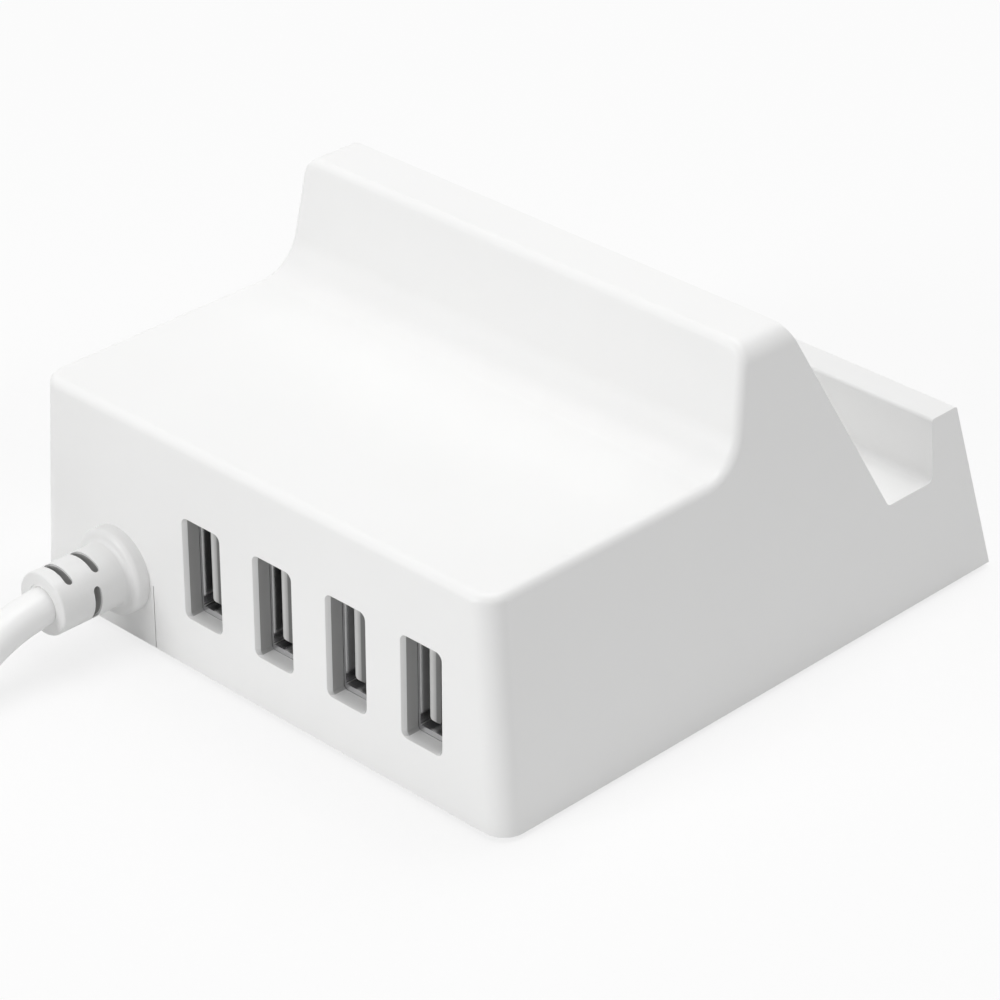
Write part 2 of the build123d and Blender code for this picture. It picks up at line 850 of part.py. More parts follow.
# Coil of the put-away length, held by a tie
cord_diameter = 2 * cord_radius
coil_half_width = cord_radius * coil_turns_wide
coil_height = cord_diameter * coil_turns_high
coil_outer_turn = coil_middle_radius + coil_half_width - cord_radius
coil_x = gland_x - coil_outer_turn
coil_outer = coil_middle_radius + coil_half_width
coil_reach = sqrt(coil_outer**2 - (coil_outer_turn - cord_radius) ** 2)
coil_y = port_y - cord_bend - 2 * cord_step - coil_reach - coil_gap
tie_arc = degrees(tie_width / coil_middle_radius)
tie_turn = radians(tie_angle)
coil_axis = Axis((coil_x, coil_y, 0), (0, 0, 1))
coil_plane = Plane(
    (coil_x, coil_y, 0),
    x_dir=(cos(tie_turn), sin(tie_turn), 0),
    z_dir=(sin(tie_turn), -cos(tie_turn), 0),
)
bundle_size = (2 * coil_half_width, coil_height, cord_radius)
tied_size = tuple(size - shrink * tie_thickness for size, shrink in zip(bundle_size, (2, 2, 1)))
with BuildPart() as coil_tie:
    with BuildSketch(coil_plane):
        with Locations((coil_middle_radius, coil_height / 2)):
            RectangleRounded(*bundle_size)
            RectangleRounded(*tied_size, mode=Mode.SUBTRACT)
    revolve(axis=coil_axis, revolution_arc=tie_arc)
write(coil_tie, "coil_tie")

with BuildPart() as cord_coil:
    with BuildSketch(coil_plane):
        with Locations((coil_middle_radius, coil_height / 2)):
            RectangleRounded(*bundle_size)
    revolve(axis=coil_axis, revolution_arc=tie_arc - 360)
    with BuildSketch(coil_plane):
        with Locations((coil_middle_radius, coil_height / 2)):
            RectangleRounded(*tied_size)
    revolve(axis=coil_axis, revolution_arc=tie_arc)
write(cord_coil, "cord_coil")

# Two-pin plug lying on the coil, pins towards +Y
loop_radius = coil_middle_radius - loop_inset
loop_x = coil_x + loop_shift_x
loop_y = coil_y + loop_shift_y
plug_x = loop_x - loop_radius
plug_z = coil_height + plug_thickness / 2
plug_back = loop_y + plug_advance + plug_tail
plug_face = plug_back + plug_length
tail_radius = cord_radius + plug_tail_gap
with BuildPart() as plug_body:
    with BuildSketch(Plane.XY.offset(coil_height)):
        with BuildLine():
            Polyline(
                (plug_x - plug_tail_width / 2, plug_back),
                (plug_x + plug_tail_width / 2, plug_back),
                (plug_x + plug_width / 2, plug_back + plug_length / 2),
                (plug_x + plug_width / 2, plug_face),
                (plug_x - plug_width / 2, plug_face),
                (plug_x - plug_width / 2, plug_back + plug_length / 2),
                close=True,
            )
        make_face()
        fillet(vertices(), radius=plug_edge)
    extrude(amount=plug_thickness)
    fillet(faces().filter_by(Axis.Z).edges(), radius=plug_edge)
    with BuildSketch(Plane((plug_x, plug_back, plug_z), x_dir=(0, 1, 0), z_dir=(1, 0, 0))):
        with BuildLine():
            Polyline(
                (-plug_tail, 0),
                (-plug_tail, tail_radius),
                (plug_edge, tail_radius + plug_tail_gap),
                (plug_edge, 0),
                close=True,
            )
        make_face()
    revolve(axis=Axis((plug_x, plug_back, plug_z), (0, 1, 0)))
    with BuildSketch(Plane((plug_x, plug_face, plug_z), x_dir=(-1, 0, 0), z_dir=(0, 1, 0))):
        with Locations((-pin_spread / 2, 0), (pin_spread / 2, 0)):
            Circle(pin_radius)
    extrude(amount=pin_sleeve)
    with BuildSketch(Plane((plug_x, plug_face, plug_z), x_dir=(-1, 0, 0), z_dir=(0, 1, 0))):
        with Locations((-pin_spread / 2, 0), (pin_spread / 2, 0)):
            Circle(pin_core_radius)
    extrude(amount=pin_sleeve, mode=Mode.SUBTRACT)
write(plug_body, "plug_body")

with BuildPart() as plug_pins:
    with BuildSketch(Plane((plug_x, plug_face, plug_z), x_dir=(-1, 0, 0), z_dir=(0, 1, 0))):
        with Locations((-pin_spread / 2, 0), (pin_spread / 2, 0)):
            Circle(pin_core_radius)
    extrude(amount=pin_sleeve)
    with BuildSketch(Plane((plug_x, plug_face + pin_sleeve, plug_z), x_dir=(-1, 0, 0), z_dir=(0, 1, 0))):
        with Locations((-pin_spread / 2, 0), (pin_spread / 2, 0)):
            Circle(pin_radius)
    extrude(amount=pin_length - pin_sleeve)
    fillet(faces().sort_by(Axis.Y)[-2:].edges(), radius=pin_radius / 2)
write(plug_pins, "plug_pins")

# Free stretch over the coil's top turn and up into the plug's tail
tail_z = coil_height + cord_radius + cord_lift


def over_coil(step, rise):
    """Point of the free stretch's loop, from its number of turning steps and its rise."""
    turn = radians(loop_start - step * loop_turn)
    return (loop_x + loop_radius * cos(turn), loop_y + loop_radius * sin(turn), tail_z + rise)


tail_rise = plug_z - tail_z
tail_points = [
    over_coil(0, 0.0),
    over_coil(1, 0.0),
    over_coil(2, 0.0),
    over_coil(3, tail_rise / 8),
    over_coil(4, tail_rise / 2),
    (plug_x, loop_y + plug_advance - plug_lead, plug_z),
    (plug_x, loop_y + plug_advance, plug_z),
]
cord_tube("cord_tail", tail_points)
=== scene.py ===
import json
import logging
import math
from dataclasses import dataclass
from enum import Enum
from typing import Any, Mapping, Sequence

import bmesh
import bpy
from mathutils import Euler, Matrix, Vector


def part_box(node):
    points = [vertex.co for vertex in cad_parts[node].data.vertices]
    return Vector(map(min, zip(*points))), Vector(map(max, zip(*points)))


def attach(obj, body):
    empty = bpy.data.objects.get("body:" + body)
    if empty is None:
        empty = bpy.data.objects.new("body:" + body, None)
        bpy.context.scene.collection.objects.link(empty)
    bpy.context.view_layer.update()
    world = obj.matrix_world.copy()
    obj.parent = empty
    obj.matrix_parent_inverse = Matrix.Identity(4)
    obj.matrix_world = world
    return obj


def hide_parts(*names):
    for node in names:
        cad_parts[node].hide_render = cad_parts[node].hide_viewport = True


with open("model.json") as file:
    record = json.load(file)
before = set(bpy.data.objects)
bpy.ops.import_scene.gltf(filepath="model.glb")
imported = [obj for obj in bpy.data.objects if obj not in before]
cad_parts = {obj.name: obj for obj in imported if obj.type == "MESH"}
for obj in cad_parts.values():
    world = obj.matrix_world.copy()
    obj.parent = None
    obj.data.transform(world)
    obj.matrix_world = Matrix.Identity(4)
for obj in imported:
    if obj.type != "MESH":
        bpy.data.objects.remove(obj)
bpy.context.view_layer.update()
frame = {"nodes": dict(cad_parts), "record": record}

MM = 0.001
MERGE = 1e-6
MIDDLE = 1e-7
BODY = "root"
Colour = tuple[float, float, float]
Number = float | int
Stops = tuple[tuple[float, float], ...]
log = logging.getLogger("desktop_charger")


class Value:
    """A shader output that takes part in Python arithmetic by adding Math nodes."""

    def __init__(self, graph: "Graph", socket: bpy.types.NodeSocket) -> None:
        """Keep the graph and the socket that carries the value."""
        self.graph = graph
        self.socket = socket

    def math(self, operation: str, first: "Value | Number", second: "Value | Number") -> "Value":
        """Add one Math node.

        Args:
            operation: The Math node's operation.
            first: Left value.
            second: Right value.

        Returns:
            The node's result.
        """
        return self.graph.node("ShaderNodeMath", {"operation": operation}, {0: first, 1: second})

    def __add__(self, other: "Value | Number") -> "Value":
        """Sum of two values."""
        return self.math("ADD", self, other)

    def __radd__(self, other: Number) -> "Value":
        """Sum with the number on the left."""
        return self.math("ADD", other, self)

    def __sub__(self, other: "Value | Number") -> "Value":
        """Difference of two values."""
        return self.math("SUBTRACT", self, other)

    def __rsub__(self, other: Number) -> "Value":
        """Difference with the number on the left."""
        return self.math("SUBTRACT", other, self)

    def __mul__(self, other: "Value | Number") -> "Value":
        """Product of two values."""
        return self.math("MULTIPLY", self, other)

    def __rmul__(self, other: Number) -> "Value":
        """Product with the number on the left."""
        return self.math("MULTIPLY", other, self)

    def __lt__(self, other: "Value | Number") -> "Value":
        """One where this value is the lesser, else nought."""
        return self.math("LESS_THAN", self, other)

    def largest(self, other: "Value | Number") -> "Value":
        """The greater of two values."""
        return self.math("MAXIMUM", self, other)


class Graph:
    """The node tree of one material, or of the world."""

    def __init__(self, owner: bpy.types.Material | bpy.types.World) -> None:
        """Start with an empty tree.

        Args:
            owner: Material or world that has the tree.
        """
        self.owner = owner
        owner.use_nodes = True
        self.tree = owner.node_tree
        self.tree.nodes.clear()

    def node(
        self,
        kind: str,
        settings: Mapping[str, Any] | None = None,
        inputs: Mapping[str | int, Any] | None = None,
        output: str | int = 0,
    ) -> Value:
        """Add a node, set it up and feed it.

        Args:
            kind: Blender's name of the node type.
            settings: Properties, set first; "stops" holds a ramp's positions and colours.
            inputs: Values or links, by socket name or number.
            output: Name or number of the socket to hand back.

        Returns:
            The chosen output.
        """
        made = self.tree.nodes.new(kind)
        for key, setting in (settings or {}).items():
            if key == "stops":
                self._set_stops(made.color_ramp, setting)
            else:
                setattr(made, key, setting)
        for key, fed in (inputs or {}).items():
            if isinstance(fed, Value):
                self.tree.links.new(fed.socket, made.inputs[key])
            else:
                made.inputs[key].default_value = fed
        return Value(self, made.outputs[output])

    @staticmethod
    def _set_stops(ramp: bpy.types.ColorRamp, stops: Sequence[tuple[float, Colour]]) -> None:
        """Give a colour ramp its stops.

        Args:
            ramp: Ramp to set.
            stops: Positions and colours, in order.
        """
        while len(ramp.elements) < len(stops):
            ramp.elements.new(1.0)
        for element, (position, colour) in zip(ramp.elements, stops):
            element.position = position
            element.color = (*colour, 1.0)

    def place(self, scale: tuple[float, float, float] = (1.0, 1.0, 1.0)) -> Value:
        """Object coordinates, stretched by a scale."""
        spot = self.node("ShaderNodeTexCoord", output="Object")
        return self.node("ShaderNodeMapping", inputs={"Vector": spot, "Scale": scale}, output="Vector")

    def noise(self, vector: Value, scale: float, detail: float = 2.0) -> Value:
        """Noise from nought to one, with its scale in cells a metre."""
        inputs = {"Vector": vector, "Scale": scale, "Detail": detail}
        return self.node("ShaderNodeTexNoise", inputs=inputs, output=0)

    def blend(self, factor: Value | Number, first: Value | Colour, second: Value | Colour) -> Value:
        """Mix two colours.

        Args:
            factor: Share of the second colour.
            first: Colour at nought.
            second: Colour at one.

        Returns:
            The mixed colour.
        """
        sides = [side if isinstance(side, Value) else (*side, 1.0) for side in (first, second)]
        settings = {"data_type": "RGBA"}
        return self.node("ShaderNodeMix", settings, {0: factor, 6: sides[0], 7: sides[1]}, output=2)

    def part(self, vector: Value, axis: str) -> Value:
        """One axis of a vector."""
        return self.node("ShaderNodeSeparateXYZ", inputs={0: vector}, output=axis)

    def fade(self, distance: Value, stops: Stops) -> Value:
        """Grey that follows a distance through stops.

        Args:
            distance: Distance in metres.
            stops: Millimetres and grey levels, in order.

        Returns:
            The grey at every distance.
        """
        longest = stops[-1][0]
        greys = tuple((mm / longest, (level, level, level)) for mm, level in stops)
        return self.node("ShaderNodeValToRGB", {"stops": greys}, {0: distance * (1.0 / (longest * MM))})

    def multiply(self, first: Value, second: Value) -> Value:
        """Product of two colours."""
        settings = {"data_type": "RGBA", "blend_type": "MULTIPLY"}
        return self.node("ShaderNodeMix", settings, {0: 1.0, 6: first, 7: second}, output=2)

    def bump(self, height: Value, depth_mm: float, strength: float = 1.0) -> Value:
        """Normal that follows a height, with the depth of its relief in millimetres."""
        inputs = {"Height": height, "Distance": depth_mm * MM, "Strength": strength}
        return self.node("ShaderNodeBump", inputs=inputs, output="Normal")

    def light_path(self, ray: str) -> Value:
        """One for rays of a kind, else nought."""
        return self.node("ShaderNodeLightPath", output=ray)

    def glow(self, kind: str, strength: float) -> Value:
        """White light of a strength, from a surface or from the world."""
        return self.node(kind, inputs={"Color": (1.0, 1.0, 1.0, 1.0), "Strength": strength})

    def either(self, factor: Value, first: Value, second: Value) -> Value:
        """Mix two shaders.

        Args:
            factor: Share of the second shader.
            first: Shader at nought.
            second: Shader at one.

        Returns:
            The mixed shader.
        """
        return self.node("ShaderNodeMixShader", inputs={0: factor, 1: first, 2: second})

    def close(self, shader: Value) -> None:
        """End the tree with its shader.

        Args:
            shader: Output to show.
        """
        world = isinstance(self.owner, bpy.types.World)
        out = self.tree.nodes.new("ShaderNodeOutputWorld" if world else "ShaderNodeOutputMaterial")
        self.tree.links.new(shader.socket, out.inputs["Surface"])


def shaded(colour: Colour, factor: float) -> Colour:
    """A colour made lighter or darker by a factor, held under one."""
    return tuple(min(1.0, channel * factor) for channel in colour)


@dataclass(frozen=True)
class Finish:
    """What every finish has: a colour and a roughness."""

    colour: Colour
    roughness: float

    def shade(self, graph: Graph) -> Value:
        """Build the shader in a graph.

        Args:
            graph: Graph to add nodes to.

        Returns:
            The shader's output.
        """
        raise NotImplementedError

    def tint(self, graph: Graph, colour: Value) -> Value:
        """Last change to the colour; most finishes make none, and the socket and gland finishes paint
        shade here.

        Args:
            graph: Graph to add nodes to.
            colour: Colour so far.

        Returns:
            The colour to use.
        """
        return colour

    def material(self, name: str) -> bpy.types.Material:
        """Make a material with this finish.

        Args:
            name: Name of the material.

        Returns:
            The material.
        """
        made = bpy.data.materials.new(name)
        graph = Graph(made)
        graph.close(self.shade(graph))
        return made


@dataclass(frozen=True)
class Moulding(Finish):
    """Moulded plastic or rubber: a spark-eroded grain, cloudy roughness and a trace of colour drift."""

    grain_mm: float = 0.35
    relief_mm: float = 0.006
    drift: float = 0.012
    coat: float = 0.0
    clouds_a_metre: float = 60.0
    cloud_rough: float = 0.10
    grain_rough: float = 0.06

    def shade(self, graph: Graph) -> Value:
        """Grain as bump, drift in the colour and clouds in the roughness.

        Args:
            graph: Graph to add nodes to.

        Returns:
            The shader's output.
        """
        spot = graph.place()
        clouds = graph.noise(spot, self.clouds_a_metre, 3.0)
        grain = graph.noise(spot, 1.0 / (self.grain_mm * MM), 3.0)
        dark, light = shaded(self.colour, 1 - self.drift), shaded(self.colour, 1 + self.drift)
        colour = graph.blend(clouds, dark, light)
        rough = self.roughness + self.cloud_rough * (clouds - 0.5) + self.grain_rough * (grain - 0.5)
        inputs = {
            "Base Color": self.tint(graph, colour),
            "Roughness": rough,
            "Coat Weight": self.coat,
            "Normal": graph.bump(grain, self.relief_mm),
        }
        return graph.node("ShaderNodeBsdfPrincipled", inputs=inputs)


@dataclass(frozen=True)
class Plating(Finish):
    """Plated or rolled metal with fine marks drawn along one axis."""

    draw: tuple[float, float, float] = (1.0, 0.08, 1.0)
    mark_mm: float = 0.12
    relief_mm: float = 0.002
    tarnish: float = 0.06
    clouds_a_metre: float = 220.0
    mark_rough: float = 0.12
    cloud_rough: float = 0.08

    def shade(self, graph: Graph) -> Value:
        """Drawn marks in the roughness and the bump, with tarnish in the colour.

        Args:
            graph: Graph to add nodes to.

        Returns:
            The shader's output.
        """
        marks = graph.noise(graph.place(self.draw), 1.0 / (self.mark_mm * MM), 2.0)
        clouds = graph.noise(graph.place(), self.clouds_a_metre, 3.0)
        colour = graph.blend(clouds, shaded(self.colour, 1 - self.tarnish), self.colour)
        rough = self.roughness + self.mark_rough * (marks - 0.5) + self.cloud_rough * (clouds - 0.5)
        inputs = {
            "Base Color": self.tint(graph, colour),
            "Metallic": 1.0,
            "Roughness": rough,
            "Normal": graph.bump(marks, self.relief_mm),
        }
        return graph.node("ShaderNodeBsdfPrincipled", inputs=inputs)


@dataclass(frozen=True)
class Banded(Finish):
    """Turns of wire, tape or sleeve: bands across an axis, with a groove between them."""

    axis: str = "Z"
    pitch_mm: float = 1.0
    relief_mm: float = 0.05
    contrast: float = 0.12
    metallic: float = 0.0
    clouds_a_metre: float = 300.0
    cloud_rough: float = 0.15

    def shade(self, graph: Graph) -> Value:
        """Bands in the colour and the bump, with clouds in the roughness.

        Args:
            graph: Graph to add nodes to.

        Returns:
            The shader's output.
        """
        spot = graph.place()
        settings = {"wave_type": "BANDS", "bands_direction": self.axis, "wave_profile": "SIN"}
        inputs = {"Vector": spot, "Scale": math.tau / (20.0 * self.pitch_mm * MM), "Distortion": 0.2}
        bands = graph.node("ShaderNodeTexWave", settings, inputs, output=1)
        clouds = graph.noise(spot, self.clouds_a_metre, 2.0)
        colour = graph.blend(bands, shaded(self.colour, 1 - self.contrast), self.colour)
        inputs = {
            "Base Color": colour,
            "Metallic": self.metallic,
            "Roughness": self.roughness + self.cloud_rough * (clouds - 0.5),
            "Normal": graph.bump(bands, self.relief_mm),
        }
        return graph.node("ShaderNodeBsdfPrincipled", inputs=inputs)


@dataclass(frozen=True)
class Speckled(Finish):
    """Sintered or dipped ceramic: small grains of two tones."""

    speck_mm: float = 0.4
    contrast: float = 0.35
    coat: float = 0.0
    relief_mm: float = 0.01
    grain_rough: float = 0.2

    def shade(self, graph: Graph) -> Value:
        """Grains in the colour, the roughness and the bump.

        Args:
            graph: Graph to add nodes to.

        Returns:
            The shader's output.
        """
        spot = graph.place()
        inputs = {"Vector": spot, "Scale": 1.0 / (self.speck_mm * MM)}
        grains = graph.node("ShaderNodeTexVoronoi", inputs=inputs, output="Distance")
        inputs = {
            "Base Color": graph.blend(grains, self.colour, shaded(self.colour, 1 + self.contrast)),
            "Roughness": self.roughness + self.grain_rough * (grains - 0.4),
            "Coat Weight": self.coat,
            "Normal": graph.bump(grains, self.relief_mm),
        }
        return graph.node("ShaderNodeBsdfPrincipled", inputs=inputs)


@dataclass(frozen=True)
class SolderMask(Finish):
    """Circuit board: lacquer over a pattern of copper tracks, with tinned pads."""

    track: Colour = (0.13, 0.42, 0.20)
    pad: Colour = (0.72, 0.72, 0.70)
    track_mm: float = 1.4
    pad_mm: float = 5.0
    pad_share: float = 0.16
    relief_mm: float = 0.035
    track_rough: float = 0.1

    def shade(self, graph: Graph) -> Value:
        """Tracks from a brick pattern and pads from round cells.

        Args:
            graph: Graph to add nodes to.

        Returns:
            The shader's output.
        """
        spot = graph.place()
        settings = {"offset": 0.35, "offset_frequency": 2, "squash": 0.6, "squash_frequency": 3}
        inputs = {"Vector": spot, "Scale": 1.0 / (6 * self.track_mm * MM), "Mortar Size": 0.04}
        tracks = graph.node("ShaderNodeTexBrick", settings, inputs, output="Fac")
        inputs = {"Vector": spot, "Scale": 1.0 / (self.pad_mm * MM), "Randomness": 0.55}
        cells = graph.node("ShaderNodeTexVoronoi", inputs=inputs, output="Distance")
        bare = cells < self.pad_share
        laid = graph.blend(tracks, self.colour, self.track)
        inputs = {
            "Base Color": graph.blend(bare, laid, self.pad),
            "Metallic": bare,
            "Roughness": self.roughness + self.track_rough * tracks,
            "Normal": graph.bump(tracks.largest(bare), self.relief_mm),
        }
        return graph.node("ShaderNodeBsdfPrincipled", inputs=inputs)


@dataclass(frozen=True)
class Vinyl(Finish):
    """Soft extruded sheath: faint draw lines, and a dull bloom."""

    line_mm: float = 0.5
    relief_mm: float = 0.012
    blooms_a_metre: float = 120.0
    bloom_rough: float = 0.12
    bloom_tint: float = 0.975

    def shade(self, graph: Graph) -> Value:
        """Draw lines in the bump, bloom in the colour and roughness.

        Args:
            graph: Graph to add nodes to.

        Returns:
            The shader's output.
        """
        spot = graph.place()
        bloom = graph.noise(spot, self.blooms_a_metre, 3.0)
        lines = graph.noise(spot, 1.0 / (self.line_mm * MM), 2.0)
        colour = graph.blend(bloom, shaded(self.colour, self.bloom_tint), self.colour)
        inputs = {
            "Base Color": self.tint(graph, colour),
            "Roughness": self.roughness + self.bloom_rough * (bloom - 0.5),
            "Normal": graph.bump(lines, self.relief_mm),
        }
        return graph.node("ShaderNodeBsdfPrincipled", inputs=inputs)


@dataclass(frozen=True)
class Throat(Moulding):
    """White plastic round a narrow mouth, with painted shade: side walls painted darker with depth, and a
    floor painted only a little darker.
    """

    side_stops: Stops = ((0.0, 1.0), (0.04, 0.8), (0.5, 0.72), (0.56, 0.48), (2.3, 0.4))
    floor_stops: Stops = ((0.0, 1.0), (0.5, 0.98), (1.2, 0.88), (2.3, 0.66))
    floor_mm: float = 0.25

    def tint(self, graph: Graph, colour: Value) -> Value:
        """Paint shade into a colour with the depth behind the port face.

        Args:
            graph: Graph to add nodes to.
            colour: Colour at the mouth.

        Returns:
            The colour at every depth.
        """
        bezel = NodeBox.of("port_bezel_1")
        spot = graph.place()
        depth = graph.part(spot, "Y") - bezel.low.y
        above = graph.part(spot, "Z") < bezel.low.z + self.floor_mm * MM
        # painted shade: side walls grow darker with depth behind the port face, the floor less so
        sides = graph.fade(depth, self.side_stops)
        floor = graph.fade(depth, self.floor_stops)
        return graph.multiply(colour, graph.blend(above, sides, floor))


@dataclass(frozen=True)
class ShellPlating(Plating):
    """Plating of the socket shells, with painted shade: full colour at the rim, painted darker inside."""

    stops: Stops = ((0.0, 1.0), (0.45, 1.0), (0.6, 0.8), (6.0, 0.62))

    def tint(self, graph: Graph, colour: Value) -> Value:
        """Paint shade into a colour with the depth behind the shell's rim.

        Args:
            graph: Graph to add nodes to.
            colour: Colour at the rim.

        Returns:
            The colour at every depth.
        """
        depth = graph.part(graph.place(), "Y") - NodeBox.of("usb_shell_1").low.y
        # painted shade: the shell grows darker with depth behind its rim
        return graph.multiply(colour, graph.fade(depth, self.stops))


@dataclass(frozen=True)
class Tongue(Moulding):
    """Plastic of the sockets' tongues, with painted shade that darkens them towards the shell wall behind.
    """

    stops: Stops = ((0.0, 0.9), (0.3, 1.0), (0.95, 0.6), (1.12, 0.25), (1.84, 0.2))
    pitch_mm: float = 12.7
    edge_mm: float = -1.86

    def tint(self, graph: Graph, colour: Value) -> Value:
        """Paint shade into a colour across each socket.

        Args:
            graph: Graph to add nodes to.
            colour: Colour at the open side.

        Returns:
            The colour all across.
        """
        start = NodeBox.of("usb_insulator_1").centre.x + (self.edge_mm - self.pitch_mm) * MM
        across = graph.part(graph.place(), "X") - start
        local = across.math("MODULO", across, self.pitch_mm * MM)
        # painted shade: each tongue grows darker towards the shell wall, repeated at the socket pitch
        return graph.multiply(colour, graph.fade(local, self.stops))


@dataclass(frozen=True)
class Sleeve(Vinyl):
    """Vinyl of the cord's gland, with painted shade at the bottom of its slots."""

    slot_mm: float = 3.95
    slot_tint: float = 0.5
    mouth_mm: float = 0.4

    def tint(self, graph: Graph, colour: Value) -> Value:
        """Paint shade on what lies inside the barrel, behind its mouth.

        Args:
            graph: Graph to add nodes to.
            colour: Colour outside.

        Returns:
            The colour inside and outside.
        """
        gland = NodeBox.of("cord_gland")
        spot = graph.place()
        across = graph.part(spot, "X") - gland.centre.x
        up = graph.part(spot, "Z") - gland.centre.z
        reach = self.slot_mm * MM
        inside = (across * across + up * up) < reach * reach
        front = graph.part(spot, "Y") < gland.low.y + self.mouth_mm * MM
        # painted shade: darker inside the bore's radius, behind the mouth
        shade = graph.blend(inside * (1.0 - front), (1.0, 1.0, 1.0), (self.slot_tint,) * 3)
        return graph.multiply(colour, shade)


class Slot(Enum):
    """The record's material slots, each with its finish."""

    housing = Moulding((0.92, 0.92, 0.915), 0.42)
    base = Moulding((0.90, 0.90, 0.895), 0.45)
    foot = Moulding((0.085, 0.085, 0.09), 0.75, grain_mm=0.6, relief_mm=0.02, drift=0.1)
    screw = Plating((0.62, 0.62, 0.63), 0.34)
    # bezel, usb_metal and usb_plastic paint shade into their colours through their finishes
    bezel = Throat((0.92, 0.92, 0.915), 0.45, grain_mm=0.2)
    usb_metal = ShellPlating((0.80, 0.80, 0.81), 0.24)
    usb_plastic = Tongue((0.72, 0.72, 0.71), 0.38, grain_mm=0.2)
    contact = Plating((0.83, 0.62, 0.25), 0.25, mark_mm=0.08)
    board = SolderMask((0.025, 0.20, 0.06), 0.32)
    ferrite = Speckled((0.03, 0.03, 0.034), 0.55)
    tape = Banded((0.80, 0.55, 0.05), 0.3, axis="X", pitch_mm=8.0, relief_mm=0.08)
    black_plastic = Moulding((0.022, 0.022, 0.024), 0.4, drift=0.1)
    can_sleeve = Banded((0.03, 0.035, 0.06), 0.25, axis="Z", pitch_mm=2.5, relief_mm=0.03)
    film_case = Moulding((0.72, 0.50, 0.04), 0.28, coat=0.3)
    ceramic = Speckled((0.04, 0.12, 0.40), 0.3, coat=0.5)
    copper = Banded((0.60, 0.22, 0.08), 0.3, "Y", pitch_mm=0.7, relief_mm=0.2, contrast=0.6, metallic=0.8)
    heatsink = Plating((0.80, 0.80, 0.81), 0.38, draw=(1.0, 1.0, 0.05))
    brown_lead = Vinyl((0.16, 0.06, 0.025), 0.4)
    blue_lead = Vinyl((0.03, 0.10, 0.42), 0.4)
    cord_white = Vinyl((0.93, 0.93, 0.925), 0.40)
    tie_white = Moulding((0.84, 0.84, 0.83), 0.35, grain_mm=0.25)
    pin_metal = Plating((0.80, 0.78, 0.74), 0.22, draw=(1.0, 0.05, 1.0))


class Paintbox:
    """Makes each slot's material once and hands it out."""

    def __init__(self) -> None:
        """Start with no material made."""
        self.made: dict[Slot, bpy.types.Material] = {}

    def get(self, slot: Slot) -> bpy.types.Material:
        """The slot's material, made at its first use.

        Args:
            slot: Slot to paint.

        Returns:
            The material.
        """
        if slot not in self.made:
            self.made[slot] = slot.value.material(slot.name)
        return self.made[slot]


@dataclass(frozen=True)
class NodeBox:
    """The box of one CAD node, in metres."""

    low: Vector
    high: Vector

    @classmethod
    def of(cls, node: str) -> "NodeBox":
        """Read the box of a node from the frame."""
        return cls(*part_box(node))

    @property
    def centre(self) -> Vector:
        """Middle of the box."""
        return (self.low + self.high) / 2


class GeometryTree:
    """A Geometry Nodes tree with named inputs."""

    def __init__(self, name: str, inputs: Mapping[str, str]) -> None:
        """Start a tree that takes a geometry and the named inputs.

        Args:
            name: Name of the tree.
            inputs: Socket type of each input, by its name.
        """
        self.tree = bpy.data.node_groups.new(name, "GeometryNodeTree")
        face = self.tree.interface
        face.new_socket("Geometry", in_out="OUTPUT", socket_type="NodeSocketGeometry")
        self.sockets: dict[str, bpy.types.NodeTreeInterfaceSocket] = {}
        for key, kind in {"Geometry": "NodeSocketGeometry", **inputs}.items():
            self.sockets[key] = face.new_socket(key, in_out="INPUT", socket_type=kind)
        self.entry = self.tree.nodes.new("NodeGroupInput")

    def node(
        self,
        kind: str,
        settings: Mapping[str, Any] | None = None,
        inputs: Mapping[str | int, Any] | None = None,
    ) -> bpy.types.Node:
        """Add a node, set it up and feed it.

        Args:
            kind: Blender's name of the node type.
            settings: Properties, set first.
            inputs: Values or output sockets, by socket name or number.

        Returns:
            The node.
        """
        made = self.tree.nodes.new(kind)
        for key, setting in (settings or {}).items():
            setattr(made, key, setting)
        for key, fed in (inputs or {}).items():
            if isinstance(fed, bpy.types.NodeSocket):
                self.tree.links.new(fed, made.inputs[key])
            else:
                made.inputs[key].default_value = fed
        return made

    def close(self, geometry: bpy.types.NodeSocket) -> None:
        """End the tree with the geometry that it hands out."""
        self.node("NodeGroupOutput", inputs={0: geometry})

    def modify(self, piece: bpy.types.Object, values: Mapping[str, Any]) -> bpy.types.Modifier:
        """Put the tree on an object.

        Args:
            piece: Object that carries the modifier.
            values: Values of the named inputs.

        Returns:
            The modifier.
        """
        modifier = piece.modifiers.new(self.tree.name, "NODES")
        modifier.node_group = self.tree
        for key, value in values.items():
            modifier[self.sockets[key].identifier] = value
        return modifier


